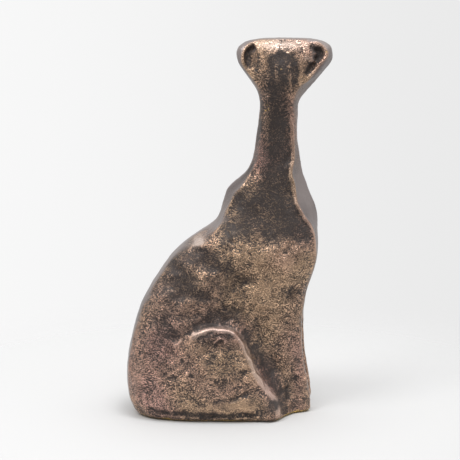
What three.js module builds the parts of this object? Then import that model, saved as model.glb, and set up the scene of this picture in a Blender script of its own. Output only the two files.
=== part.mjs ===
// A seated hound cast in one piece, in a rough hand-modelled style: the body in profile along +X,
// the long neck upright and the wide-eared head turned to look along -Y.
// Millimetres, +Z up, the origin at the middle of the footprint on the surface that it stands on.
import * as THREE from "three";

// Driving dimensions.
const figureHeight = 250;
const figureLength = 136; // rump to the tip of the leading ear
const haunchDepth = 62; // across both flanks at the haunches, without the thighs' relief
const thighRelief = 2.6; // how far a thigh's edge stands out of its flank
const thighCrown = 3; // how much further its middle does
const thighEdge = 8; // width of the slope from the thigh's edge to the flank above it
const beadHeight = 1.3; // the rounded bead that follows the thigh's edge
const beadWidth = 4.5;
const forelegWidth = 27; // across the two forelegs
const forelegSlope = 13; // width of the slope from a shin to the foreleg ahead of it
const legCleft = 5; // depth of the cleft between the forelegs, from the front
const legCleftWidth = 7;
const earHollow = 5; // depth of the hollow in each ear
const muzzleRelief = 4; // how far the face stands out between the ears
const neckFurrow = 1.8; // depth of the flat furrow down the near side of the neck
const soleBevel = 1.6; // round of the casting's lower edge

// Mesh density.
const ringSegments = 80; // points round each cross-section, half of them on each side
const outlineSamples = 200; // points tried along half a cross-section
const thighDensity = 1.6; // how many more points there are about the thigh's edge
const ringSpacing = { thigh: 4.3, body: 6.2, shoulder: 3.6, neck: 7, head: 2.45 };

// The trunk, neck and head as stations up the figure. Heights are shares of figureHeight, back and
// front are the outline's two sides as shares of figureLength, and near and far are the half depths
// towards -Y and +Y as shares of haunchDepth. The higher a square, the boxier that half of the
// cross-section: squareBack behind the middle, squareFront ahead of it.
const columns = ["at", "back", "front", "near", "far", "squareBack", "squareFront"];
const stations = [
  [0.0, -0.46, 0.402, 0.47, 0.47, 3.4, 3.4], // sole
  [0.036, -0.492, 0.398, 0.49, 0.49, 3.6, 3.2], // heel
  [0.075, -0.505, 0.4, 0.495, 0.495, 3.7, 3.2], // pastern
  [0.12, -0.508, 0.384, 0.495, 0.495, 3.7, 3.2], // rump
  [0.18, -0.493, 0.369, 0.485, 0.485, 3.6, 3.2], // hip
  [0.272, -0.449, 0.364, 0.47, 0.47, 3.3, 3.4], // knee
  [0.34, -0.391, 0.379, 0.455, 0.455, 3.1, 3.8], // loin
  [0.4, -0.317, 0.415, 0.44, 0.44, 2.9, 4.2], // ribs
  [0.446, -0.251, 0.428, 0.425, 0.42, 2.8, 4.2], // chest
  [0.487, -0.148, 0.425, 0.4, 0.39, 2.7, 3.8], // withers
  [0.515, -0.071, 0.426, 0.37, 0.36, 2.7, 3.4], // shoulder
  [0.552, -0.043, 0.419, 0.325, 0.315, 2.7, 2.9], // point of the breast
  [0.595, -0.02, 0.383, 0.275, 0.27, 2.7, 2.6], // collar
  [0.61, -0.005, 0.374, 0.26, 0.256, 2.7, 2.6], // knob behind the neck
  [0.625, 0.028, 0.366, 0.245, 0.24, 2.7, 2.6], // neck root
  [0.652, 0.083, 0.347, 0.225, 0.22, 2.8, 2.7], // lower neck
  [0.69, 0.113, 0.336, 0.205, 0.2, 2.9, 2.9], // neck
  [0.745, 0.126, 0.321, 0.195, 0.19, 3.0, 3.0], // upper neck
  [0.8, 0.14, 0.325, 0.19, 0.185, 3.0, 3.0], // throat
  [0.835, 0.142, 0.328, 0.19, 0.183, 3.0, 3.0], // jaw
  [0.875, 0.118, 0.386, 0.195, 0.18, 3.0, 3.0], // cheek
  [0.918, 0.06, 0.452, 0.195, 0.17, 3.1, 3.1], // ear
  [0.945, 0.033, 0.489, 0.185, 0.16, 3.2, 3.2], // ear tip
  [0.97, 0.031, 0.486, 0.165, 0.145, 3.0, 3.0], // ear top
  [0.986, 0.054, 0.471, 0.14, 0.13, 2.8, 2.8], // brow
  [0.997, 0.1, 0.423, 0.1, 0.1, 2.4, 2.4], // crown
].map((row) => Object.fromEntries(columns.map((name, k) => [name, row[k]])));
const crownShrink = 0.5; // size of the last, flat ring against the crown's own

const up = (share) => share * figureHeight;
const along = (share) => share * figureLength;
const across = (share) => share * haunchDepth;
const place = ([x, z]) => new THREE.Vector2(along(x), up(z));
const smooth = (low, high, v) => THREE.MathUtils.smoothstep(v, low, high);
const bell = (v, width) => Math.exp(-((v / width) ** 2));

// One column of the stations, read at a height as a smooth cubic.
function read(key, height) {
  const share = THREE.MathUtils.clamp(height / figureHeight, 0, stations.at(-1).at);
  const i = Math.max(stations.findIndex((s) => s.at >= share), 1);
  const slope = (k) => {
    const a = stations[Math.max(k - 1, 0)];
    const b = stations[Math.min(k + 1, stations.length - 1)];
    return (b[key] - a[key]) / (b.at - a.at);
  };
  const [low, high] = [stations[i - 1], stations[i]];
  const span = high.at - low.at;
  const t = (share - low.at) / span;
  const [t2, t3] = [t ** 2, t ** 3];
  return (
    (2 * t3 - 3 * t2 + 1) * low[key] +
    (t3 - 2 * t2 + t) * span * slope(i - 1) +
    (3 * t2 - 2 * t3) * high[key] +
    (t3 - t2) * span * slope(i)
  );
}

// 1 at the middle of an oval on a side, falling to 0 round it. Its middle is a share of length and
// height, its half axes are shares of height, and the long one leans by turn degrees from +X.
function oval(x, z, [cx, cz], long, short, turn) {
  const angle = THREE.MathUtils.degToRad(turn);
  const [dx, dz] = [x - along(cx), z - up(cz)];
  const a = (dx * Math.cos(angle) + dz * Math.sin(angle)) / up(long);
  const b = (dz * Math.cos(angle) - dx * Math.sin(angle)) / up(short);
  return Math.exp(-(a * a + b * b));
}

// The thigh's edge, walked from the flank over the knee and down the shin to the toes.
const thighLine = new THREE.SplineCurve(
  [
    [-0.3, 0.16], [-0.19, 0.214], [-0.11, 0.243], [-0.03, 0.25], [0.035, 0.232],
    [0.075, 0.186], [0.115, 0.13], [0.165, 0.077], [0.21, 0.035], [0.245, -0.03],
  ].map(place),
).getPoints(48);

// The two ridges that bound the near face of the figure: behind it from the withers up, ahead of it
// from the forefoot up. Beyond them the casting slants away to its outline.
const ridgeLines = {
  back: [
    [-0.24, 0.446], [-0.11, 0.468], [-0.053, 0.486], [-0.029, 0.516], [-0.015, 0.552], [0.01, 0.58],
    [0.0625, 0.616], [0.091, 0.64], [0.124, 0.668], [0.148, 0.732], [0.145, 0.8],
  ],
  front: [
    [0.386, 0.045], [0.361, 0.08], [0.343, 0.125], [0.336, 0.172], [0.327, 0.216], [0.335, 0.255],
    [0.356, 0.3], [0.378, 0.35], [0.405, 0.4], [0.416, 0.44], [0.409, 0.476], [0.385, 0.508], [0.336, 0.548], [0.307, 0.596], [0.287, 0.64],
    [0.291, 0.668], [0.301, 0.704], [0.316, 0.76], [0.297, 0.824], [0.318, 0.875], [0.391, 0.907],
    [0.43, 0.935], [0.461, 0.965],
  ],
};
for (const side in ridgeLines) {
  ridgeLines[side] = new THREE.SplineCurve(ridgeLines[side].map(place)).getPoints(60);
}

// Where a ridge runs at a height, or nothing above and below its ends.
function ridgeAt(side, height) {
  const line = ridgeLines[side];
  const i = line.findIndex((p) => p.y > height);
  if (i < 1) return undefined;
  const [a, b] = [line[i - 1], line[i]];
  return a.x + ((b.x - a.x) * (height - a.y)) / (b.y - a.y);
}

// Half depth allowed at a place on the near side: full between the ridges, none at the outline.
function slant(x, height, { back, front, depth }) {
  const edges = { back, front };
  const reaches = Object.entries(edges).map(([side, edge]) => {
    const ridge = ridgeAt(side, height);
    return ridge === undefined ? Infinity : ((edge - x) / (edge - ridge)) * depth;
  });
  return Math.min(...reaches);
}

// Distance from a point on a side to the thigh's edge: minus inside the thigh.
function thighDistance(x, z) {
  let best = Infinity;
  let sign = 1;
  for (let i = 0; i + 1 < thighLine.length; i++) {
    const [a, b] = [thighLine[i], thighLine[i + 1]];
    const [ex, ez] = [b.x - a.x, b.y - a.y];
    const [px, pz] = [x - a.x, z - a.y];
    const t = THREE.MathUtils.clamp((px * ex + pz * ez) / (ex * ex + ez * ez), 0, 1);
    const d = Math.hypot(px - t * ex, pz - t * ez);
    if (d < best) {
      best = d;
      sign = Math.sign(ex * pz - ez * px) || 1;
    }
  }
  return best * sign;
}

// Carving on a flank: how far the surface stands out (plus) or in (minus) at a place on it.
function flankRelief(x, z, d) {
  const rear = smooth(along(-0.44), along(-0.16), x); // the thigh melts into the rump
  const thigh = 1 - smooth(-thighEdge / 2, thighEdge / 2, d);
  const crown = smooth(0, up(0.16), -d) * smooth(0, up(0.08), z);
  const bead = bell(d + beadWidth / 2, beadWidth);
  return (
    rear * (thigh * thighRelief + crown * thighCrown + bead * beadHeight) +
    up(0.006) * oval(x, z, [0.15, 0.436], 0.13, 0.03, -4) + // chest below the neck's furrow
    up(0.006) * oval(x, z, [0.0, 0.034], 0.16, 0.014, 0) - // top of the hind foot
    up(0.012) * oval(x, z, [-0.05, 0.293], 0.075, 0.024, 4) - // hollow over the thigh
    up(0.01) * oval(x, z, [-0.07, 0.212], 0.055, 0.018, 6) - // hollow inside its arch
    up(0.01) * oval(x, z, [-0.12, 0.43], 0.05, 0.032, -30) - // hollow behind the shoulder
    up(0.008) * oval(x, z, [-0.26, 0.37], 0.05, 0.04, 60) - // dent in the loin
    up(0.007) * oval(x, z, [0.03, 0.375], 0.1, 0.02, 20) // fold towards the elbow
  );
}

// The face between the two ears and the furrow of the neck, on the near side only.
function nearRelief(x, z) {
  return (
    muzzleRelief * oval(x, z, [0.262, 0.9], 0.034, 0.055, 0) -
    earHollow * oval(x, z, [0.095, 0.955], 0.03, 0.014, -77) -
    earHollow * oval(x, z, [0.41, 0.948], 0.038, 0.015, 63) -
    neckFurrow * oval(x, z, [0.22, 0.74], 0.12, 0.022, 90) -
    neckFurrow * oval(x, z, [0.2, 0.53], 0.08, 0.05, 100)
  );
}

// Half a cross-section, from the back round one side to the front: side is -1 near, 1 far. Its
// points are an even way apart on the plain outline, and closer about the thigh's edge.
function halfRing(height, side, inset) {
  const back = along(read("back", height)) + inset;
  const front = along(read("front", height)) - inset;
  const depth = across(read(side < 0 ? "near" : "far", height)) - inset;
  const middle = (back + front) / 2;
  const half = (front - back) / 2;
  const outline = [];
  for (let i = 0; i <= outlineSamples; i++) {
    const angle = Math.PI * (1 - i / outlineSamples);
    const [c, s] = [Math.cos(angle), Math.sin(angle)];
    const power = read(c < 0 ? "squareBack" : "squareFront", height);
    const reach = (Math.abs(c / half) ** power + Math.abs(s / depth) ** power) ** (-1 / power);
    outline.push(new THREE.Vector2(middle + reach * c, reach * s));
  }
  const lowBody = 1 - smooth(up(0.3), up(0.5), height);
  const density = (x) => 1 + thighDensity * lowBody * bell(x - along(0.1), along(0.16));
  const points = spaced(outline, ringSegments / 2, density);
  return points.map(({ x, y }) => carved(x, y, height, side, { middle, back, front, depth }));
}

// A point of the plain outline moved to the carved surface.
function carved(x, plainDepth, height, side, section) {
  const { middle, front, depth } = section;
  const y = side < 0 ? Math.min(plainDepth, Math.max(slant(x, height, section), 0)) : plainDepth;
  const d = thighDistance(x, height);
  const shown = smooth(0.3, 0.9, y / depth); // carving fades where a side turns into the outline
  const legs = 1 - smooth(up(0.12), up(0.46), height);
  const ahead = smooth(0, forelegSlope, d) * smooth(along(-0.1), along(0.14), x);
  const legShare = Math.min(forelegWidth / 2 / depth, 1);
  let out = y * (1 - ahead * legs * (1 - legShare)) + flankRelief(x, height, d) * shown;
  if (side < 0) out += nearRelief(x, height) * shown;
  const cleft = legCleft * legs * bell(y, legCleftWidth / 2) * smooth(middle, front, x);
  return new THREE.Vector3(x - cleft, Math.max(out, 0) * side, height);
}

// Points along an outline, closer together where the density is higher, the last one left off.
function spaced(outline, count, density) {
  const run = [0];
  for (let i = 1; i < outline.length; i++) {
    const step = outline[i].distanceTo(outline[i - 1]);
    run.push(run[i - 1] + step * density((outline[i].x + outline[i - 1].x) / 2));
  }
  let k = 1;
  return Array.from({ length: count + 1 }, (_, i) => {
    const want = (run.at(-1) * i) / count;
    while (run[k] < want && k + 1 < run.length) k++;
    return outline[k - 1].clone().lerp(outline[k], (want - run[k - 1]) / (run[k] - run[k - 1]));
  });
}

// One whole cross-section: the near side from back to front, then the far side from front to back.
function ring(height, inset = 0) {
  const near = halfRing(height, -1, inset);
  const far = halfRing(height, 1, inset).reverse();
  return [...near.slice(0, -1), ...far.slice(0, -1)];
}

// Heights of the rings above the sole, closer together where the form is finer.
function ringHeights() {
  const { thigh, body, shoulder, neck, head } = ringSpacing;
  const { lerp } = THREE.MathUtils;
  const top = up(stations.at(-1).at);
  const heights = [];
  for (let z = soleBevel; z < top - head / 2; ) {
    heights.push(z);
    let step = lerp(thigh, body, smooth(up(0.26), up(0.36), z));
    step = lerp(step, shoulder, smooth(up(0.52), up(0.57), z));
    step = lerp(step, neck, smooth(up(0.63), up(0.68), z));
    z += lerp(step, head, smooth(up(0.78), up(0.85), z));
  }
  return [...heights, top];
}

function middleOf(points) {
  return points.reduce((sum, p) => sum.add(p), new THREE.Vector3()).divideScalar(points.length);
}

function figureGeometry() {
  const rings = [ring(0, soleBevel), ...ringHeights().map((z) => ring(z))];
  const crown = rings.at(-1);
  const crownMiddle = middleOf(crown);
  rings.push(crown.map((p) => crownMiddle.clone().lerp(p, crownShrink).setZ(figureHeight)));

  const points = rings.flat();
  const index = [];
  const n = ringSegments;
  for (let r = 0; r + 1 < rings.length; r++) {
    for (let i = 0; i < n; i++) {
      const [a, b] = [r * n + i, r * n + ((i + 1) % n)];
      const [c, d] = [b + n, a + n];
      // Each square is split along its shorter diagonal.
      if (points[a].distanceTo(points[c]) < points[b].distanceTo(points[d])) index.push(a, b, c, a, c, d);
      else index.push(a, b, d, b, c, d);
    }
  }
  // The sole and the crown are closed by fans round a middle point.
  const sole = points.push(middleOf(rings[0])) - 1;
  const peak = points.push(middleOf(rings.at(-1))) - 1;
  const last = (rings.length - 1) * n;
  for (let i = 0; i < n; i++) {
    const next = (i + 1) % n;
    index.push(next, i, sole, last + i, last + next, peak);
  }

  const geometry = new THREE.BufferGeometry().setFromPoints(points).setIndex(index);
  geometry.computeBoundingBox();
  const { min, max } = geometry.boundingBox;
  geometry.translate(-(min.x + max.x) / 2, -(min.y + max.y) / 2, 0);
  geometry.computeVertexNormals();
  return geometry;
}

const agedBronze = new THREE.MeshStandardMaterial({ color: 0x6f5a4c, roughness: 0.42, metalness: 1 });

const figure = new THREE.Mesh(figureGeometry(), agedBronze);
figure.name = "seated_figure";

const part = new THREE.Group();
part.add(figure);

export default part;
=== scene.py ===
import math

import bmesh
import bpy
import numpy as np
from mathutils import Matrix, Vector, noise


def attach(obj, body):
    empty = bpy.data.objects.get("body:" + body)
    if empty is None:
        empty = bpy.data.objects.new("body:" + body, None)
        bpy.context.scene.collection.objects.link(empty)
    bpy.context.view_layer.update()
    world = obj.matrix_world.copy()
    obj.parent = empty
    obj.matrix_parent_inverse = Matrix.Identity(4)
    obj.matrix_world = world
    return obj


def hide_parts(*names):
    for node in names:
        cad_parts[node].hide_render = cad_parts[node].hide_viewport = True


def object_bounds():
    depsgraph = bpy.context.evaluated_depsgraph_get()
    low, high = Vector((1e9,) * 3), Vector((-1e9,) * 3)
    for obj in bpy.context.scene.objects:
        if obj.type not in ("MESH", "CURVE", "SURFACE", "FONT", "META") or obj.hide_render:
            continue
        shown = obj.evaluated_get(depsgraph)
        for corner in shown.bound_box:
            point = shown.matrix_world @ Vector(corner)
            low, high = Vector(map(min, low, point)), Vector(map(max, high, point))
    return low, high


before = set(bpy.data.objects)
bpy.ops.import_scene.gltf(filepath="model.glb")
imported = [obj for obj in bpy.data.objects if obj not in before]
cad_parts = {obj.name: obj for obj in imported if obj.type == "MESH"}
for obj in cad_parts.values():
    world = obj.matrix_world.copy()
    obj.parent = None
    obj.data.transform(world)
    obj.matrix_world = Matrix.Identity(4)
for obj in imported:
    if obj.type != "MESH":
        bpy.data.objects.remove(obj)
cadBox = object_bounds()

mm = 0.001


# Number helpers.
def smoothStep(low, high, value):
    t = np.clip((value - low) / (high - low), 0, 1)
    return t * t * (3 - 2 * t)


def bell(value, width):
    return np.exp(-((value / width) ** 2))


# Node helpers: a wire is a socket that takes part in Python sums, and a bench makes nodes in one tree.
class Wire:
    def __init__(self, bench, socket):
        self.bench, self.socket = bench, socket

    def maths(self, operation, *values):
        return self.bench.add("ShaderNodeMath", {"operation": operation}, dict(enumerate(values)))

    def __add__(self, other):
        return self.maths("ADD", self, other)

    def __sub__(self, other):
        return self.maths("SUBTRACT", self, other)

    def __rsub__(self, other):
        return self.maths("SUBTRACT", other, self)

    def __mul__(self, other):
        return self.maths("MULTIPLY", self, other)

    __radd__ = __add__
    __rmul__ = __mul__

    def ease(self, low, high):  # 0 below low, 1 above high, smooth between
        settings = {"interpolation_type": "SMOOTHSTEP"}
        sockets = {"Value": self, "From Min": low, "From Max": high}
        return self.bench.add("ShaderNodeMapRange", settings, sockets)


class Bench:
    def __init__(self, tree):
        self.tree = tree
        tree.nodes.clear()

    def add(self, kind, settings=None, sockets=None, output=0):
        node = self.tree.nodes.new(kind)
        for name, value in (settings or {}).items():
            setattr(node, name, value)
        for name, value in (sockets or {}).items():
            if isinstance(value, Wire):
                self.tree.links.new(value.socket, node.inputs[name])
            else:
                node.inputs[name].default_value = value
        return Wire(self, node.outputs[output]) if len(node.outputs) else node

    def mixColour(self, factor, a, b):
        settings = {"data_type": "RGBA"}
        return self.add("ShaderNodeMix", settings, {"Factor": factor, 6: a, 7: b}, output=2)


# Camera, at the photograph's viewing angle.
cameraSetup = {
    "elevation": 12.0,
    "distance": 1.4,
    "frameWidth": 0.304,  # what the frame takes in at the statue
    "aimHeight": 0.1229,
    "aimAcross": 0.001,
    "sensor": 36.0,
}


def makeCamera(setup):
    data = bpy.data.cameras.new("camera")
    data.sensor_width = setup["sensor"]
    data.lens = setup["sensor"] * setup["distance"] / setup["frameWidth"]
    camera = bpy.data.objects.new("camera", data)
    bpy.context.scene.collection.objects.link(camera)
    tilt = math.radians(setup["elevation"])
    aim = Vector((setup["aimAcross"], 0, setup["aimHeight"]))
    back = Vector((0, -math.cos(tilt), math.sin(tilt)))
    camera.location = aim + back * setup["distance"]
    camera.rotation_euler = (-back).to_track_quat("-Z", "Y").to_euler()
    bpy.context.scene.camera = camera


# Studio: a pale floor that fades into a pale surround, which lights the statue from the sides and above
# and is dim behind the camera.
studio = {
    # painted light: what the camera sees of the surround is lighter on the left, as if lit from there
    "backdropLeft": (0.94, 0.94, 0.94, 1),
    "backdropRight": (0.82, 0.82, 0.82, 1),
    "front": 0.16,
    "side": 0.75,
    "behind": 0.6,
    "overhead": 1.4,
    "frontEdge": (0.1, 0.9),  # where each of these begins and is whole, as a share of its direction
    "behindEdge": (0.1, 0.8),
    "overheadEdge": (0.3, 0.9),
    "backdropTurn": (-0.14, 0.14),
    "floorAlbedo": 0.62,
    "floorRoughness": 0.9,
    "floorSpecular": 0.1,
    "floorFade": (0.1, 0.32),
    "floorSize": 0.8,
    "lampAim": 0.12,  # the height that the softboxes point at
}
softboxes = [
    {"name": "keySoftbox", "place": (-0.6, -0.6, 1.2), "size": 0.5, "watts": 6.0},
    {"name": "topSoftbox", "place": (0.2, -0.3, 1.3), "size": 0.4, "watts": 5.0},
]


def makeSurround(setup):
    world = bpy.data.worlds.new("surround")
    bpy.context.scene.world = world
    world.use_nodes = True
    bench = Bench(world.node_tree)
    direction = bench.add("ShaderNodeTexCoord")
    along, forward, upward = (
        bench.add("ShaderNodeSeparateXYZ", None, {0: direction}, output=axis) for axis in "XYZ"
    )
    front = (0 - forward).ease(*setup["frontEdge"])
    behind = forward.ease(*setup["behindEdge"])
    over = upward.ease(*setup["overheadEdge"])
    light = front * (setup["front"] - setup["side"])
    light = light + behind * (setup["behind"] - setup["side"]) + setup["side"]
    light = light + over * (setup["overhead"] - light)
    # The camera sees the painted backdrop, lighter on the left; the statue gets only the light.
    turn = along.ease(*setup["backdropTurn"])
    backdrop = bench.mixColour(turn, setup["backdropLeft"], setup["backdropRight"])
    seen = bench.add("ShaderNodeBackground", None, {"Color": backdrop})
    lit = bench.add("ShaderNodeBackground", None, {"Color": (1, 1, 1, 1), "Strength": light})
    path = bench.add("ShaderNodeLightPath")
    mixed = bench.add("ShaderNodeMixShader", None, {0: path, 1: lit, 2: seen})
    bench.add("ShaderNodeOutputWorld", None, {"Surface": mixed})


def makeFloor(setup):
    half = setup["floorSize"] / 2
    data = bpy.data.meshes.new("floor")
    corners = [(-half, -half, 0), (half, -half, 0), (half, half, 0), (-half, half, 0)]
    data.from_pydata(corners, [], [(0, 1, 2, 3)])
    floor = bpy.data.objects.new("floor", data)
    bpy.context.scene.collection.objects.link(floor)
    material = bpy.data.materials.new("paleFloor")
    material.use_nodes = True
    bench = Bench(material.node_tree)
    place = bench.add("ShaderNodeTexCoord", None, None, output="Object")
    reach = bench.add("ShaderNodeVectorMath", {"operation": "LENGTH"}, {0: place}, output="Value")
    albedo = setup["floorAlbedo"]
    paint = {"Base Color": (albedo, albedo, albedo, 1), "Roughness": setup["floorRoughness"]}
    paint["Specular IOR Level"] = setup["floorSpecular"]
    paint["Alpha"] = 1 - reach.ease(*setup["floorFade"])
    surface = bench.add("ShaderNodeBsdfPrincipled", None, paint)
    bench.add("ShaderNodeOutputMaterial", None, {"Surface": surface})
    data.materials.append(material)


def makeSoftbox(aimHeight, name, place, size, watts):
    data = bpy.data.lights.new(name, "AREA")
    data.shape = "SQUARE"
    data.size = size
    data.energy = watts
    lamp = bpy.data.objects.new(name, data)
    lamp.location = place
    aim = Vector((0, 0, aimHeight)) - Vector(place)
    lamp.rotation_euler = aim.to_track_quat("-Z", "Y").to_euler()
    bpy.context.scene.collection.objects.link(lamp)


makeCamera(cameraSetup)
makeSurround(studio)
makeFloor(studio)
for softbox in softboxes:
    makeSoftbox(studio["lampAim"], **softbox)
bpy.context.scene.view_settings.view_transform = "Standard"
print("studio and camera made")


# The casting: the frame's solid rounded off, given an even fine mesh and then modelled.
casting = {
    "weld": 0.01 * mm,  # points closer than this are merged
    "joinAngle": 3.1,  # triangles are joined into quads whatever their angle
    "rounding": 2,  # subdivision levels
    "meshSize": 0.91 * mm,
    "smoothing": 4,
    "seed": 7,
    "flankEdge": (0.15, 0.6),  # how far the surface faces sideways where a flank begins and is whole
    "calm": 0.2,  # share of the unevenness that the head, the neck and the edges get
    "flankTop": (112, 128),  # heights between which the flanks' unevenness ends
    "footing": 4,  # height below which the relief dies out, so that the sole stays flat
    "soleFlat": (0.1, 0.5),
    "grainRoom": 0.25,  # left free inside the solid's box
}


def evaluatedCopy(source, name):
    graph = bpy.context.evaluated_depsgraph_get()
    data = bpy.data.meshes.new_from_object(source.evaluated_get(graph))
    data.name = name
    return data


def makeFineMesh(node, setup):
    build = bmesh.new()
    build.from_mesh(node.data)
    bmesh.ops.remove_doubles(build, verts=build.verts, dist=setup["weld"])
    angle = setup["joinAngle"]
    bmesh.ops.join_triangles(
        build, faces=build.faces, angle_face_threshold=angle, angle_shape_threshold=angle
    )
    data = bpy.data.meshes.new("castFigure")
    build.to_mesh(data)
    build.free()
    figure = bpy.data.objects.new("castFigure", data)
    bpy.context.scene.collection.objects.link(figure)
    rounded = figure.modifiers.new("rounded", "SUBSURF")
    rounded.levels = rounded.render_levels = setup["rounding"]
    even = figure.modifiers.new("even", "REMESH")
    even.mode = "VOXEL"
    even.voxel_size = setup["meshSize"]
    figure.data = evaluatedCopy(figure, "castFigure")
    figure.modifiers.clear()
    return figure


class Surface:  # a mesh's points as arrays, in millimetres
    def __init__(self, mesh):
        count = len(mesh.vertices)
        self.points = np.zeros(count * 3)
        mesh.vertices.foreach_get("co", self.points)
        self.points = self.points.reshape(-1, 3) / mm
        edges = np.zeros(len(mesh.edges) * 2, int)
        mesh.edges.foreach_get("vertices", edges)
        self.a, self.b = edges.reshape(-1, 2).T
        self.degree = np.bincount(np.concatenate([self.a, self.b]), minlength=count)
        self.mesh = mesh

    def neighbourMean(self, values):
        columns = values.reshape(len(values), -1)
        total = np.zeros_like(columns, float)
        for k in range(columns.shape[1]):
            total[:, k] += np.bincount(self.a, columns[self.b, k], len(values))
            total[:, k] += np.bincount(self.b, columns[self.a, k], len(values))
        return (total / self.degree[:, None]).reshape(values.shape)

    def blurred(self, values, rounds):
        for _ in range(rounds):
            values = 0.5 * values + 0.5 * self.neighbourMean(values)
        return values

    def smooth(self, rounds):  # evens out without shrinking
        for _ in range(rounds):
            for pull in (0.5, -0.52):
                self.points = self.points + pull * (self.neighbourMean(self.points) - self.points)

    def normals(self):
        self.write()
        found = np.zeros(len(self.points) * 3)
        self.mesh.vertex_normals.foreach_get("vector", found)
        return found.reshape(-1, 3)

    def write(self):
        self.mesh.vertices.foreach_set("co", (self.points * mm).astype(np.float32).ravel())
        self.mesh.update()

    def store(self, name, values):
        layer = self.mesh.attributes.new(name, "FLOAT", "POINT")
        layer.data.foreach_set("value", np.clip(values, 0, 1).astype(np.float32))


def cloudAt(points, size, seed):  # soft lumps of a given size, about -1 to 1
    shift = Vector((seed * 13.7, seed * 5.1, seed * 9.3))
    return np.array([noise.noise(Vector(p) / size + shift) for p in points]) * 1.6


# Places on the near flank, in millimetres along X and Z.
def wandered(points, reach, size, seed):  # places shifted at random, for edges that wander
    x, _, z = points.T
    return x + reach * cloudAt(points, size, seed), z + reach * cloudAt(points, size, seed + 1)


wandering = {  # reach, size and seed of the shifts
    "broad": (2.4, 13, 31),
    "fine": (0.4, 9, 41),
    "crease": (0.8, 4.5, 43),
    "wear": (0.8, 9, 51),
    "brow": (0.8, 6, 61),
}


def oval(x, z, place, size, lean=0):
    angle = math.radians(lean)
    dx, dz = x - place[0], z - place[1]
    a = (dx * math.cos(angle) + dz * math.sin(angle)) / size[0]
    b = (dz * math.cos(angle) - dx * math.sin(angle)) / size[1]
    return np.exp(-(a * a + b * b))


def curveThrough(route, steps=8):  # a smooth line through the route's points
    p = np.array(route, float)
    p = np.vstack([2 * p[0] - p[1], p, 2 * p[-1] - p[-2]])
    line = []
    for i in range(1, len(p) - 2):
        for t in np.linspace(0, 1, steps, endpoint=False):
            line.append(
                0.5 * (2 * p[i] + (p[i + 1] - p[i - 1]) * t)
                + 0.5 * (2 * p[i - 1] - 5 * p[i] + 4 * p[i + 1] - p[i + 2]) * t**2
                + 0.5 * (3 * p[i] - p[i - 1] - 3 * p[i + 1] + p[i + 2]) * t**3
            )
    return np.array([*line, p[-2]])


def alongRoute(x, z, route):  # distance off a route, plus on its left, and the share of the way along it
    line = curveThrough(route)
    runs = np.concatenate([[0], np.cumsum(np.hypot(*np.diff(line, axis=0).T))])
    best = np.full(len(x), 1e9)
    side = np.ones(len(x))
    share = np.zeros(len(x))
    for a, b, start, end in zip(line, line[1:], runs, runs[1:]):
        ex, ez = b - a
        px, pz = x - a[0], z - a[1]
        t = np.clip((px * ex + pz * ez) / (ex * ex + ez * ez), 0, 1)
        d = np.hypot(px - t * ex, pz - t * ez)
        nearer = d < best
        best = np.where(nearer, d, best)
        side = np.where(nearer, np.sign(ex * pz - ez * px), side)
        share = np.where(nearer, (start + t * (end - start)) / runs[-1], share)
    return best * side, share


def fadeEnds(share, part=0.12):
    return smoothStep(0, part, share) * (1 - smoothStep(1 - part, 1, share))


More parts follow.
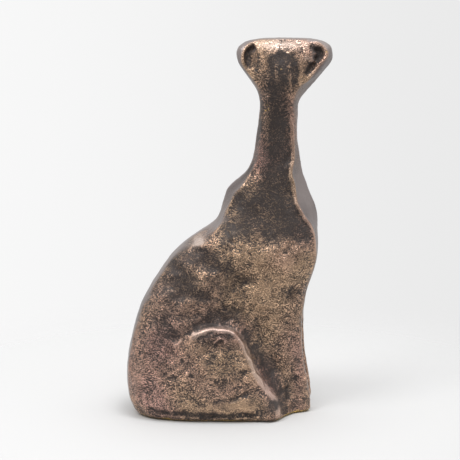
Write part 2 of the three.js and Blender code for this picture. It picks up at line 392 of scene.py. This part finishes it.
thighRoute = [(-30.3, 56), (-26, 57.8), (-22.5, 59.6), (-18.5, 61.3), (-14.6, 62.9), (-10.7, 63.6),
              (-6.2, 63.7), (-1.6, 63.2), (2.3, 62.1), (6.2, 59.6), (8.6, 56), (11, 51), (12.6, 47.4),
              (16, 39.2), (20.2, 30.5), (25.8, 21.7), (30.1, 16.3), (32.9, 10), (33.6, 0)]
archRise = 0.7
archEdge = [(x, z + archRise) for x, z in thighRoute[:12]]
leftRim = [(18, 222), (13, 229), (9.6, 235), (9.4, 239.5), (11.4, 244.2), (15, 247.2), (20, 248.8)]
rightRim = [(52, 248.6), (58, 247.4), (62.6, 243.6), (63.6, 240), (57.9, 232.6), (53.2, 226.2), (48.5, 221)]
modelling = {
    "dents": [  # place, half sizes, lean, depth
        ((-19, 111.5), (8, 5.5), -35, 1.2),
        ((-9, 105), (8.5, 5), -40, 1.3),
        ((3, 97.5), (8, 4), -35, 1.0),
        ((-33.5, 101.5), (6, 6.5), 35, 1.2),
        ((-27, 87), (15, 5.5), -10, 1.5),
        ((-41, 88), (7, 7), 0, 0.8),
        ((-12, 82), (8, 4), -5, 0.8),
        ((12.7, 94.3), (9, 3.6), 12, 1.1),
        ((44.7, 83), (6, 6), 30, 1.0),
        ((-37, 60), (5, 4), 20, 0.9),
        ((-46, 72), (7, 12), -15, 0.8),
        ((13, 137), (6, 12), 20, 0.7),
        ((-24, 26), (9, 3), 10, 0.6),
        ((20, 15), (5, 4), 20, 0.7),
    ],
    "bosses": [  # place, half sizes, lean, height
        ((-20, 98.5), (7, 3), -15, 0.3),
        ((30, 107), (16, 9), -8, 0.8),
        ((22, 82), (10, 9), 30, 0.7),
        ((-20.5, 117.8), (5, 2.6), 35, 2.0),
        ((-11.3, 124.5), (6, 2.6), 20, 0.7),
        ((36, 115), (20, 7), -2, 0.7),
        ((-48, 16), (8, 8), 20, 0.7),
        ((-30, 14), (8, 3.5), 0, 0.5),
        ((3, 11.5), (24, 3.6), 2, 1.1),
        ((10, 20.7), (3.5, 2.2), 20, 0.9),
        ((-4.5, 53), (4, 3.2), 20, 1.0),
        ((-12, 40), (14, 8), 0, 0.5),
        ((51.2, 238.2), (3.6, 1.7), -25, 1.5),
        ((31, 233), (6, 11), 0, 0.5),
        ((40.6, 167), (2, 5), 0, 1.0),
        ((42, 157), (2.2, 7), -8, 0.8),
    ],
    "ridges": [  # route, half width, height, how far the patina is rubbed off it, which also lays a painted highlight along it
        (thighRoute[12:], 1.2, 0.6, 0.1),
        ([(-36.5, 51), (-33, 52.8), (-30, 56)], 1.2, 0.9, 0.5),
        ([(-10.5, 53), (-7.8, 55.8), (-5.4, 57.4), (-2.4, 56.2), (-2, 53)], 0.8, 1.0, 0.45),
        ([(39.4, 205), (40.4, 198.5), (41.5, 190), (41.7, 182.1), (42.2, 173.5),
          (40.7, 166.9), (40.4, 160.9), (42, 154.8), (43.4, 147), (46.4, 139.9), (50, 133.7), (54.4, 128.4),
          (56.2, 123), (56.9, 116), (56.7, 106)], 0.9, 1.4, 0.9),
        ([(19.5, 173), (16, 165.3), (11.7, 158.3), (7.4, 153), (3.9, 149.5), (2.3, 145.3), (-1.3, 138),
          (-4.9, 131.1), (-7.5, 125.8), (-14, 121)], 0.9, 0.8, 0.2),
        ([(-52, 5.4), (-40, 4), (-28, 3.6), (-12, 2.6), (4, 2.8), (16, 3.4), (27, 4.6)], 0.7, 0.4, 0.4),
        (leftRim, 0.8, 0.8, 0.5),
        (rightRim, 0.8, 0.9, 0.5),
    ],
    "steps": [  # the thigh's edge: route, half width, height of the step down on its left
        (archEdge, 2.0, 2.3),
        (thighRoute[8:15], 1.6, 1.3),
        (thighRoute[13:], 1.1, 0.9),
    ],
    "bands": [  # smooth, worn, with a painted highlight: route, half width, how far the patina is rubbed off, paleness of the painted highlight
        (thighRoute[1:10], 3.0, 0.22, 0.6),
        (thighRoute[8:], 2.4, 0.45, 0.5),
    ],
    "creases": [  # route, half width, depth
        ([(38.5, 190), (39.2, 176), (38, 160), (40.6, 148), (44.2, 138.6), (48, 132),
          (52.6, 126.6)], 1.7, 0.6),
        ([(7.6, 151.5), (6.9, 147), (6.5, 141)], 1.8, 0.8),
        ([(-1.4, 127), (0.6, 122.6), (3, 118)], 1.3, 0.8),
        ([(4.8, 91.5), (1.4, 86.5), (-0.3, 83.8), (-2.6, 80), (-3.2, 76.5), (0, 74)], 2.1, 0.8),
        ([(-24, 62.4), (-18, 65.6), (-11.4, 67.6), (-5, 68.6), (1.5, 67.8), (6.5, 65)], 2.7, 1.7),
        ([(-19.6, 53), (-18.6, 56), (-15, 58.8), (-8.4, 60), (-1.7, 59.8), (2.6, 58.4), (3.9, 55)], 1.5, 1.3),
        ([(-30, 20), (-24.6, 17.9), (-16, 17.6), (-10.2, 15.3), (-3, 15.4), (4.3, 17.1), (8.9, 19.2),
          (12.2, 21.2), (18.3, 22), (26, 21.3)], 1.9, 0.8),
        ([(7, 36), (12, 36.4), (17, 35)], 1.4, 0.7),
        ([(-57.5, 9.5), (-48, 7), (-35.8, 6), (-24.7, 4.8), (-8.2, 4), (5, 4.6), (18.8, 5.8),
          (27.3, 9)], 2.4, 1.3),
        ([(40, 125), (48, 122.5), (54, 123)], 3.2, 0.5),
        ([(9, 63), (12.8, 56.3), (17, 48.2), (22.6, 37.3), (29.2, 25), (35.3, 15.5), (37.9, 6)], 2.6, 1.1),
        ([(38.6, 20), (38.3, 8), (38, -2)], 2.4, 1.2),
        ([(18.7, 244), (18.8, 238), (18.6, 231)], 1.2, 0.6),
        ([(42, 242), (42.4, 232), (42, 221)], 1.7, 0.5),
        ([(46.5, 246), (48, 242), (48.6, 238)], 1.2, 0.5),
    ],
    "pits": [  # place, radius, depth
        ((-35.9, 30.2), 1.9, 0.9), ((-42.2, 32.2), 1.5, 0.8), ((-24.2, 32.5), 1.6, 0.8),
        ((-7.8, 28), 1.4, 0.9), ((-2.9, 28.3), 1.5, 0.9), ((10, 34.6), 1.6, 0.8),
        ((44.6, 24.7), 1.8, 0.9), ((-30, 41), 1.6, 0.6), ((15.2, 243.6), 1.9, 1.5),
        ((57, 242.8), 1.6, 1.0), ((-9.5, 45.2), 1.6, 0.8), ((2, 41), 1.3, 0.5),
        ((-36.3, 58.2), 3.4, 1.7), ((30.6, 11), 3.2, 1.2),
    ],
    "hollows": [  # the ears: route down the middle, half width, depth
        ([(17.5, 245.6), (14.8, 244), (12.6, 241), (12.3, 236.5), (13.6, 231)], 2.2, 1.3),
        ([(52.4, 245.8), (56.4, 243.8), (59.2, 241), (58, 238.2), (55.4, 235.8)], 2.5, 1.2),
        ([(54.4, 235.4), (52.8, 231.6), (50, 227.4)], 2.2, 1.2),
    ],
    "browPlane": {"left": 14, "right": 51, "edge": 4, "low": 241, "depth": -13.4, "slope": 1.0,
                  "rough": 0.4, "grit": (3.4, 63)},  # grit: size and seed of its roughness
    "crown": {"middle": 30, "halfWidth": 17, "heights": (238, 248), "depths": (0, 5), "fullness": 2.6},
}
creaseBreaks = {"least": 0.3, "clouds": (5, 73)}  # least share of depth, and size and seed of the clouds


def broken(points):  # share of its depth that a crease keeps, place by place
    least = creaseBreaks["least"]
    return least + (1 - least) * smoothStep(-0.5, 0.4, cloudAt(points, *creaseBreaks["clouds"]))


def nearRelief(points, shape):
    x, z = wandered(points, *wandering["broad"])
    out = np.zeros(len(x))
    for place, size, lean, depth in shape["dents"]:
        out -= depth * oval(x, z, place, size, lean)
    for place, size, lean, height in shape["bosses"]:
        out += height * oval(x, z, place, size, lean)
    x, z = wandered(points, *wandering["fine"])
    for route, width, height, _ in shape["ridges"]:
        off, share = alongRoute(x, z, route)
        out += height * bell(off, width) * fadeEnds(share)
    for route, width, height in shape["steps"]:
        off, share = alongRoute(x, z, route)
        out += height * (0.5 - smoothStep(-width, width, off)) * bell(off, 4 * width) * fadeEnds(share)
    for route, width, depth in shape["hollows"]:
        off, share = alongRoute(x, z, route)
        out -= depth * bell(off, width) ** 1.5 * fadeEnds(share, 0.08)
    keeps = broken(points)
    x, z = wandered(points, *wandering["crease"])
    for route, width, depth in shape["creases"]:
        off, share = alongRoute(x, z, route)
        out -= depth * keeps * bell(off, width) ** 1.5 * fadeEnds(share, 0.08)
    for place, radius, depth in shape["pits"]:
        out -= depth * oval(x, z, place, (radius, radius))
    return out


def cutBrow(points, plane):  # the brow is cut back to a rough plane that slants up to the crown
    x, z = wandered(points, *wandering["brow"])
    limit = plane["depth"] + plane["slope"] * (z - plane["low"])
    limit = limit + plane["rough"] * cloudAt(points, *plane["grit"])
    edge = plane["edge"]
    across = smoothStep(0, edge, x - plane["left"]) * smoothStep(0, edge, plane["right"] - x)
    across *= smoothStep(plane["low"] - 2, plane["low"] + 1, z)
    y = points[:, 1]
    points[:, 1] = y + across * (np.maximum(y, limit) - y)


farFlank = {
    "count": 16,
    "across": (-45, 45),
    "up": (20, 150),
    "size": (7, 15),
    "narrowness": 0.6,
    "depth": (0.4, 1.2),
    "thighHeight": 1.1,
    "thighWidth": 1.9,
}


def farRelief(x, z, setup, seed):
    draw = np.random.default_rng(seed)
    out = np.zeros(len(x))
    for _ in range(setup["count"]):
        place = (draw.uniform(*setup["across"]), draw.uniform(*setup["up"]))
        long = draw.uniform(*setup["size"])
        depth = draw.uniform(*setup["depth"])
        out -= depth * oval(x, z, place, (long, setup["narrowness"] * long), draw.uniform(0, 180))
    off, share = alongRoute(x, z, thighRoute)
    return out + setup["thighHeight"] * bell(off, setup["thighWidth"]) * fadeEnds(share)


lumps = [(24, 0.7), (10, 0.8), (4.6, 0.36)]  # sizes and heights of the hand-modelled unevenness


def modelFigure(figure, shape, setup):
    surface = Surface(figure.data)
    surface.smooth(setup["smoothing"])
    x, y, z = surface.points.T
    ny = surface.normals()[:, 1]
    near = smoothStep(*setup["flankEdge"], -ny)
    far = smoothStep(*setup["flankEdge"], ny)
    out = near * nearRelief(surface.points, shape) + far * farRelief(x, z, farFlank, setup["seed"])
    calm = setup["calm"]
    flank = calm + (1 - calm) * np.maximum(near, far) * (1 - smoothStep(*setup["flankTop"], z))
    for k, (size, height) in enumerate(lumps):
        out += height * flank * cloudAt(surface.points, size, setup["seed"] + k)
    footing = smoothStep(0, setup["footing"], z)
    surface.points = surface.points + surface.normals() * (out * footing)[:, None]
    cutBrow(surface.points, shape["browPlane"])
    x, y, z = surface.points.T
    crown = shape["crown"]
    full = crown["fullness"] * bell(x - crown["middle"], crown["halfWidth"])
    surface.points[:, 1] += full * smoothStep(*crown["heights"], z) * smoothStep(*crown["depths"], y)
    flattened = np.clip(z, 0, None) * smoothStep(*setup["soleFlat"], z)
    surface.points[:, 2] = np.where(z < setup["soleFlat"][1], flattened, surface.points[:, 2])
    room = setup["grainRoom"]
    low, high = (np.array(corner) / mm for corner in cadBox)
    low, high = low + (room, room, 0), high - room
    surface.points = np.clip(surface.points, low, high)
    surface.write()
    return surface


figure = makeFineMesh(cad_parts["seated_figure"], casting)
print("fine mesh made", len(figure.data.vertices))
surface = modelFigure(figure, modelling, casting)
print("figure modelled")


# Where the bronze is rubbed bare and where the dark patina stays, with painted shade and painted highlights
# laid into the same share.
wear = {
    "flank": 0.56,  # share of bare metal on the open flanks
    "proud": [(5, 0.7, (-0.25, 0.35)), (40, 0.4, (-0.3, 0.3))],  # rounds of blur, gain, limits
    "least": 0.08,  # bare metal left in the darkest places of the flanks
    "leastTop": (114, 126),  # heights between which that ends
    "upward": 0.16,  # painted shade: less bare metal on slopes that face up, to dim the overhead light there
    "upwardTop": (150, 170),
    "farEvenness": 0.35,  # how smooth the far flank's skin is
    "farClouds": 0.4,  # patina kept in the broad dark places of the far flank
    "clouds": {"far": (30, 9), "shade": (12, 5), "lip": (6, 83), "rose": (26, 3)},  # sizes and seeds
    "shade": {  # the dark middle of the face, neck and chest, darker patina and painted shade for the dim front that these flat faces mirror: where it lies at each height
        "at": [114, 124, 130, 135, 143, 150, 160, 172, 200, 223, 240, 244],
        "left": [24, 22, 20, 16, 15, 18, 22, 26, 26, 25, 25.5, 33],
        "right": [56, 57, 55, 50, 45, 43, 41, 41, 39, 38.5, 40, 35],
        "edge": [6, 5, 5, 5, 5, 5, 5, 4, 4, 2.5, 2, 2],
        "strength": 0.64,
    },
    "streaks": {"width": 2.8, "length": 16, "strength": 0.4, "seed": 91},  # drawn down the face
    "face": {"left": (13, 18), "right": (50, 46), "low": (216, 224), "high": (240, 244)},
    "crown": {"left": (14, 20), "right": (54, 48), "low": (236, 240)},
    "foreleg": {"left": (44, 50), "high": (82, 74), "low": (14, 20)},
    "lip": (1.2, 2.0),  # heights between which the golden lower lip ends
    "speck": 0.7,
    "creaseDark": 0.32,  # patina kept in creases, pits and the ears' hollows, for each mm of depth
    "pitDark": 0.5,
    "hollowDark": (0.4, 0.25),  # the first whatever the depth
    # painted highlight on the ridges, for each share of their polish
    "ridgeHighlightPaint": 0.4,
    "bandEvenness": 0.8,
    "bandEdge": (0.6, 1.3),
    # The painted grey sheen on the edges is narrow on the body and wide above it.
    "paintedSheen": {"facing": (0.5, 0.82), "bodySlimmer": 0.41, "bodyTop": (124, 134), "foot": (3, 8)},
    "rimEdge": (0.4, 1.4),
    "shin": 9,  # distance from the thigh's edge within which there is no painted grey sheen
    "dulledDepth": (-3, 5),  # beyond it, the back's middle strip stays smooth, under the painted grey sheen
    "rose": 0.3,
    "roseClouds": 0.5,
    "patinaAndPaintedShade": [  # darker patina, and painted shade in the dents and hollows and on lit slopes: place, half sizes, lean, strength
        ((-11, 107), (17, 5.8), -23, 0.5),
        ((-26, 107), (6, 5), 0, 0.15),
        ((1, 102), (5, 4.5), -20, 0.25),
        ((-33, 100), (7, 8), 35, 0.36),
        ((-26, 87), (18, 7), -10, 0.42),
        ((-44, 68), (9, 24), -15, 0.34),
        ((-24, 98), (22, 16), -20, 0.26),
        ((0, 123), (6, 5), 30, 0.25),
        ((2, 12), (24, 4), 2, 0.1),
        ((-8, 69), (15, 4.6), 3, 0.55),
        ((12, 94), (9, 4), 12, 0.25),
        ((19, 44), (3, 18), 28, 0.2),
        ((-8, 57.8), (12, 3), 0, 0.65),
        ((29, 12), (5, 4.6), 0, 0.5),
        ((3, 127), (10, 10), -30, 0.26),
        ((-16, 113.5), (6, 3), -20, 0.25),
        ((-37, 58.5), (3.8, 3.6), 0, 0.45),
        ((23, 197), (3.5, 20), 0, 0.15),
        ((44.7, 84), (8, 7), 30, 0.28),
        ((42.6, 229), (2.8, 11), 0, 0.55),
        ((40, 230), (2, 12), 0, 0.25),
        ((18.7, 237), (1.4, 7), 0, 0.4),
        ((10, 142), (8.5, 21), 20, 0.5),
        ((22, 190), (3, 24), 0, 0.4),
        ((17.6, 187), (2.6, 24), -6, 0.6),
        ((10, 161), (3, 10), -45, 0.4),
        ((-2, 146), (5, 18), -45, 0.3),
        ((-6, 4), (50, 3.4), 0, 0.45),
        ((30, 9), (5, 4), 0, 0.4),
    ],
    "rubbedAndPaintedLight": [  # where the patina is worn off, and painted highlight on the brow, the shoulder's cream spot and the ear's bump
        ((30, 104), (18, 12), -5, 0.36),
        ((24, 78), (12, 20), 20, 0.3),
        ((-16, 97), (8, 3), -20, 0.12),
        ((34, 246.8), (15, 2.8), 0, 0.6),
        ((14.7, 236), (1.5, 8), 0, 0.25),
        ((21.6, 237), (1.4, 9), 0, 0.25),
        ((46.8, 226), (2, 8), 0, 0.3),
        ((-20.3, 118), (4.6, 2.1), 35, 1.1),
        ((-25.3, 113.4), (2.6, 0.9), 50, 0.5),
        ((-12, 125), (5, 2), 20, 0.15),
        ((51.2, 238.2), (3.4, 1.5), -25, 0.6),
    ],
    "paintedHighlight": [  # painted highlight: a paler, pinkish cream where the light catches the brow, the shoulder and the ear's bump
        ((34, 246.8), (17, 3.2), 0, 0.8),
        ((-20.3, 118), (5, 2.1), 35, 1.6),
        ((51.2, 238.2), (3.4, 1.5), -25, 0.6),
    ],
    "dulled": [  # where the edge is brown, without the painted grey sheen
        ((24, 188), (8, 32), 0, 1.0),
        ((42, 194), (6, 26), 0, 0.9),
        ((16, 162), (7, 8), 40, 0.5),
        ((-20.3, 118), (7, 4), 35, 1.0),
        ((17.6, 187), (2.6, 24), -6, 0.8),
        ((9.6, 162), (3.4, 10), -45, 0.6),
        ((-2, 146), (5, 18), -45, 0.4),
    ],
    "specks": [(24.7, 208), (24.2, 204.4), (25.8, 206), (33.5, 232), (63.2, 242.2)],  # little flecks of gold
    "reddened": [  # where the bronze is more rose, or less for a strength below 0
        ((-52, 34), (12, 40), 0, 0.6),
        ((-6, 60), (26, 8), 0, 0.5),
        ((26, 26), (14, 5), -58, 0.5),
        ((46, 20), (6, 26), 0, 0.6),
        ((-24, 100), (22, 16), -20, -0.25),
        ((22, 186), (5, 26), 0, 0.5),
        ((40, 208), (7, 16), 0, 0.5),
        ((2, 12), (24, 6), 2, -0.5),
        ((24, 90), (22, 24), 0, -0.5),
        ((2, 128), (12, 14), -35, -0.6),
    ],
    "even": [  # smooth places without the wrinkled skin
        ((2, 12.5), (24, 4.5), 2, 0.8),
        ((-20.3, 118), (5, 2.4), 35, 0.8),
        ((24, 38), (18, 4), -60, 0.5),
        ((2, 128), (12, 12), -35, 0.35),
        ((34, 246.8), (16, 3), 0, 0.4),
    ],
}


def storeWear(surface, setup, shape):
    x, z = wandered(surface.points, *wandering["wear"])
    clouds = setup["clouds"]
    normal = surface.normals()
    broad = surface.blurred(normal, 12)
    broad /= np.linalg.norm(broad, axis=1)[:, None]
    near = smoothStep(-0.15, 0.35, -normal[:, 1])
    far = smoothStep(0.1, 0.6, normal[:, 1])

    def standing(rounds):  # how far the surface stands proud of its own blur, in millimetres
        return ((surface.points - surface.blurred(surface.points, rounds)) * normal).sum(axis=1)

    def patches(kind):
        return sum(strength * oval(x, z, place, size, lean) for place, size, lean, strength in setup[kind])

    bareAndPaintedLight = setup["flank"]
    for rounds, gain, limits in setup["proud"]:
        bareAndPaintedLight = bareAndPaintedLight + np.clip(gain * standing(rounds), *limits)
    # painted shade on slopes that face up
    bareAndPaintedLight -= setup["upward"] * smoothStep(0.1, 0.6, broad[:, 2]) * (1 - smoothStep(*setup["upwardTop"], z))
    bareAndPaintedLight -= setup["farClouds"] * far * smoothStep(-0.1, 0.7, cloudAt(surface.points, *clouds["far"]))
    shade = setup["shade"]
    left, right, edge = (np.interp(z, shade["at"], shade[name]) for name in ("left", "right", "edge"))
    dark = smoothStep(-edge, edge, np.minimum(x - left, right - x))
    dark *= smoothStep(shade["at"][0], shade["at"][2], z + 3 * cloudAt(surface.points, *clouds["shade"]))
    tint = patches("rubbedAndPaintedLight") - patches("patinaAndPaintedShade") - shade["strength"] * dark
    streaks = setup["streaks"]
    stretched = surface.points * (1, 1, streaks["width"] / streaks["length"])
    face = setup["face"]
    onFace = smoothStep(*face["low"], z) * (1 - smoothStep(*face["high"], z))
    onFace = onFace * smoothStep(*face["left"], x) * smoothStep(*face["right"], x)
    tint += streaks["strength"] * onFace * cloudAt(stretched, streaks["width"], streaks["seed"])
    even = patches("even")
    paintedHighlight = patches("paintedHighlight")
    fineX, fineZ = wandered(surface.points, *wandering["fine"])
    for route, width, depth in shape["hollows"]:
        off, share = alongRoute(fineX, fineZ, route)
        dark = setup["hollowDark"][0] + setup["hollowDark"][1] * depth
        tint -= dark * bell(off, 1.2 * width) * fadeEnds(share, 0.08)
    keeps = broken(surface.points)
    creaseX, creaseZ = wandered(surface.points, *wandering["crease"])
    for route, width, depth in shape["creases"]:
        off, share = alongRoute(creaseX, creaseZ, route)
        tint -= setup["creaseDark"] * depth * keeps * bell(off, 1.1 * width) * fadeEnds(share, 0.08)
    for place, radius, depth in shape["pits"]:
        tint -= setup["pitDark"] * depth * oval(fineX, fineZ, place, (radius, radius))
    # Ridges: rubbed metal, with a painted highlight along them.
    for route, width, _, polish in shape["ridges"]:
        off, share = alongRoute(fineX, fineZ, route)
        band = bell(off, width) * fadeEnds(share)
        tint += polish * band
        even += polish * band
        paintedHighlight += setup["ridgeHighlightPaint"] * polish * band
    for route, width, rubbing, highlightPaint in shape["bands"]:
        off, share = alongRoute(fineX, fineZ, route)
        off = np.where(off > 0, 2 * off, -off) / width  # narrower on its left
        band = (1 - smoothStep(*setup["bandEdge"], off)) * fadeEnds(share)
        tint += rubbing * band
        even += setup["bandEvenness"] * band
        paintedHighlight += highlightPaint * band
    lip = 1 - smoothStep(*setup["lip"], z + 0.5 * cloudAt(surface.points, *clouds["lip"]))
    for place in setup["specks"]:
        fleck = oval(x, z, place, (setup["speck"], setup["speck"]))
        lip = np.maximum(lip, near * smoothStep(0.4, 0.7, fleck))
    surface.store("lip", lip)
    least = np.maximum(setup["least"] * (1 - smoothStep(*setup["leastTop"], z)), lip)
    surface.store("bareAndPaintedLight", np.maximum(bareAndPaintedLight + near * tint, least))
    surface.store("even", near * even + setup["farEvenness"] * far)
    surface.store("paintedHighlight", near * paintedHighlight)
    shin, _ = alongRoute(x, z, thighRoute)
    edges = setup["paintedSheen"]
    facing = edges["facing"]
    slim = edges["bodySlimmer"] * (1 - smoothStep(*edges["bodyTop"], z))
    # Painted sheen: grey where the surface turns sideways, as if the edge mirrored the pale surround.
    paintedSheen = 1 - smoothStep(facing[0] - slim, facing[1] - slim, np.abs(broad[:, 1]))
    for rim in (leftRim, rightRim):  # outside the rims of the ears
        off, share = alongRoute(fineX, fineZ, rim)
        paintedSheen = np.maximum(paintedSheen, near * smoothStep(*setup["rimEdge"], off) * fadeEnds(share, 0.06))
    top, leg = setup["crown"], setup["foreleg"]
    crown = smoothStep(*top["left"], x) * smoothStep(*top["right"], x) * near * smoothStep(*top["low"], z)
    foreleg = smoothStep(*leg["left"], x) * smoothStep(*leg["high"], z) * smoothStep(*leg["low"], z)
    paintedSheen *= (1 - bell(shin, setup["shin"]) * (1 - foreleg)) * smoothStep(*edges["foot"], z) * (1 - crown)
    seen = smoothStep(*setup["dulledDepth"], -surface.points[:, 1])
    surface.store("paintedSheen", paintedSheen * np.clip(1 - seen * patches("dulled"), 0, 1))
    rose = setup["rose"] + setup["roseClouds"] * cloudAt(surface.points, *clouds["rose"])
    surface.store("rose", rose + patches("reddened"))


storeWear(surface, wear, modelling)


# Cast grain, pushed along the normals by a Geometry Nodes tree.
grain = {
    "size": 2.4 * mm,
    "depth": 0.2 * mm,
    "seed": 3.0,
    "footing": (0.5 * mm, 3 * mm),  # heights between which it grows, so that the sole stays flat
}


def makeGrainTree(material, footing):
    tree = bpy.data.node_groups.new("castGrain", "GeometryNodeTree")
    face = tree.interface
    face.new_socket("Geometry", in_out="INPUT", socket_type="NodeSocketGeometry")
    for name in ("Grain Size", "Grain Depth", "Seed"):
        face.new_socket(name, in_out="INPUT", socket_type="NodeSocketFloat")
    face.new_socket("Geometry", in_out="OUTPUT", socket_type="NodeSocketGeometry")
    bench = Bench(tree)
    group = bench.add("NodeGroupInput")
    entry = {socket.name: Wire(bench, socket) for socket in group.socket.node.outputs if socket.name}
    place = bench.add("GeometryNodeInputPosition")
    normal = bench.add("GeometryNodeInputNormal")
    height = bench.add("ShaderNodeSeparateXYZ", None, {0: place}, output="Z")
    scale = entry["Grain Size"].maths("DIVIDE", 1, entry["Grain Size"])
    lump = bench.add(
        "ShaderNodeTexNoise",
        {"noise_dimensions": "4D"},
        {"Vector": place, "W": entry["Seed"], "Scale": scale, "Detail": 1.0, "Roughness": 0.6},
    )
    push = (lump - 0.5) * 2 * entry["Grain Depth"] * height.ease(*footing)
    offset = bench.add("ShaderNodeVectorMath", {"operation": "SCALE"}, {0: normal, "Scale": push})
    moved = bench.add("GeometryNodeSetPosition", None, {"Geometry": entry["Geometry"], "Offset": offset})
    whole = bench.add("GeometryNodeRealizeInstances", None, {"Geometry": moved})
    finished = bench.add("GeometryNodeSetMaterial", None, {"Geometry": whole, "Material": material})
    bench.add("NodeGroupOutput", None, {"Geometry": finished})
    return tree


def addGrain(figure, material, setup):
    modifier = figure.modifiers.new("castGrain", "NODES")
    modifier.node_group = makeGrainTree(material, setup["footing"])
    values = {"Grain Size": setup["size"], "Grain Depth": setup["depth"], "Seed": setup["seed"]}
    for item in modifier.node_group.interface.items_tree:
        if item.in_out == "INPUT" and item.name in values:
            modifier[item.identifier] = values[item.name]
    figure.data = evaluatedCopy(figure, "castFigure")
    figure.modifiers.clear()


bronze = {
    "patina": (0.055, 0.044, 0.041, 1),
    "tan": (0.66, 0.445, 0.29, 1),
    "rose": (0.6, 0.36, 0.295, 1),
    # the painted highlight's paler, pinkish cream
    "paintedHighlight": (0.6, 0.48, 0.415, 1),
    "gold": (0.66, 0.45, 0.14, 1),
    "side": (0.28, 0.24, 0.23, 1),  # painted reflection: the grey sheen on the smooth patina of the sides and the head's rim
    "sideDark": (0.19, 0.16, 0.155, 1),  # and in the painted reflection's darker clouds
    "slowSize": 24 * mm,  # the size of those clouds
    "grainSize": 0.7 * mm,
    "foldSize": 1.6 * mm,
    "foldFlatness": 1.7,
    "swirlSize": 13 * mm,
    "swirlReach": 11 * mm,
    "mottleSize": 4.5 * mm,
    "cloudSize": 14 * mm,
    "bumpDepth": 0.2 * mm,
    "foldShare": 0.75,
    "cloudShare": 0.6,
    "sheenMetal": 0.4,  # how metallic the smooth patina under the painted grey sheen is
    "roughness": 0.36,
    "rubbedSmoother": 0.1,
    "mottleRoughness": 0.1,
    "specular": 0.25,
    "coat": 0.05,
    "coatRoughness": 0.25,
}


def makeAgedBronze(setup):
    material = bpy.data.materials.new("agedBronze")
    material.use_nodes = True
    bench = Bench(material.node_tree)
    place = bench.add("ShaderNodeTexCoord", None, None, output="Object")

    def stored(name):
        return bench.add("ShaderNodeAttribute", {"attribute_name": name}, None, output="Fac")

    def vectorMaths(operation, a, b):
        return bench.add("ShaderNodeVectorMath", {"operation": operation}, {0: a, 1: b})

    def noiseOf(size, detail, roughness, distortion=0.0, vector=place):
        sockets = {"Vector": vector, "Scale": 1 / size, "Detail": detail, "Roughness": roughness}
        sockets["Distortion"] = distortion
        return bench.add("ShaderNodeTexNoise", None, sockets) - 0.5

    names = ("bareAndPaintedLight", "rose", "paintedHighlight", "lip", "paintedSheen", "even")
    rubbedAndPaintedLight, rose, paintedHighlight, lip, paintedSheen, even = (stored(name) for name in names)
    fine = noiseOf(setup["grainSize"], 2.0, 0.6, 0.5)
    # Fine wrinkles, as in the skin of a casting: long and flat, and turned about by slow swirls.
    swirl = {"Vector": place, "Scale": 1 / setup["swirlSize"], "Detail": 1.0}
    swirl = bench.add("ShaderNodeTexNoise", None, swirl, output="Color")
    swirl = vectorMaths("SUBTRACT", swirl, (0.5, 0.5, 0.5))
    swirl = {0: swirl, "Scale": setup["swirlReach"]}
    swirl = bench.add("ShaderNodeVectorMath", {"operation": "SCALE"}, swirl)
    turned = vectorMaths("MULTIPLY", vectorMaths("ADD", place, swirl), (1, 1, setup["foldFlatness"]))
    fold = noiseOf(setup["foldSize"], 2.0, 0.55, 0.6, turned)
    fold = fold.maths("ABSOLUTE", fold).ease(0.0, 0.14) - 0.6
    mottle = noiseOf(setup["mottleSize"], 2.0, 0.6, 0.8)
    cloud = noiseOf(setup["cloudSize"], 2.0, 0.6)
    grit = fine + fold * setup["foldShare"]
    rough = 1 - paintedSheen.maths("MAXIMUM", paintedSheen, even) * 0.85
    flecks = grit * rough * (rubbedAndPaintedLight.ease(0.0, 0.5) * 0.6 + 0.85)  # fewer where the patina is whole
    bareAndPaintedLight = (flecks + rubbedAndPaintedLight + mottle * setup["cloudShare"] + cloud * setup["cloudShare"]).ease(0.0, 1.0)
    metal = bench.mixColour(rose, setup["tan"], setup["rose"])
    # painted highlight: a pale cream mixed into the metal
    metal = bench.mixColour(paintedHighlight, metal, setup["paintedHighlight"])
    metal = bench.mixColour(lip, metal, setup["gold"])
    colour = bench.mixColour(bareAndPaintedLight, setup["patina"], metal)
    slow = noiseOf(setup["slowSize"], 1.0, 0.5)
    # Painted reflection: the grey sheen of the edges, in slow darker clouds.
    side = bench.mixColour(slow.ease(-0.2, 0.1), setup["sideDark"], setup["side"])
    colour = bench.mixColour(paintedSheen, colour, side)
    # The painted highlight is half as metallic, so that its pale colour shows.
    shine = (bareAndPaintedLight * 0.85 + 0.15) * (1 - paintedSheen) * (1 - paintedHighlight * 0.5) + paintedSheen * setup["sheenMetal"]
    roughness = setup["roughness"] - bareAndPaintedLight * setup["rubbedSmoother"] + mottle * setup["mottleRoughness"]
    bump = bench.add(
        "ShaderNodeBump", None, {"Strength": 1.0, "Distance": setup["bumpDepth"], "Height": grit * rough}
    )
    finish = {"Base Color": colour, "Metallic": shine, "Roughness": roughness, "Normal": bump}
    finish["Specular IOR Level"] = setup["specular"]
    finish["Coat Weight"] = setup["coat"]
    finish["Coat Roughness"] = setup["coatRoughness"]
    surface = bench.add("ShaderNodeBsdfPrincipled", None, finish)
    bench.add("ShaderNodeOutputMaterial", None, {"Surface": surface})
    return material


addGrain(figure, makeAgedBronze(bronze), grain)
figure.data.polygons.foreach_set("use_smooth", [True] * len(figure.data.polygons))
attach(figure, "root")
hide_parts("seated_figure")
print("bronze finished")
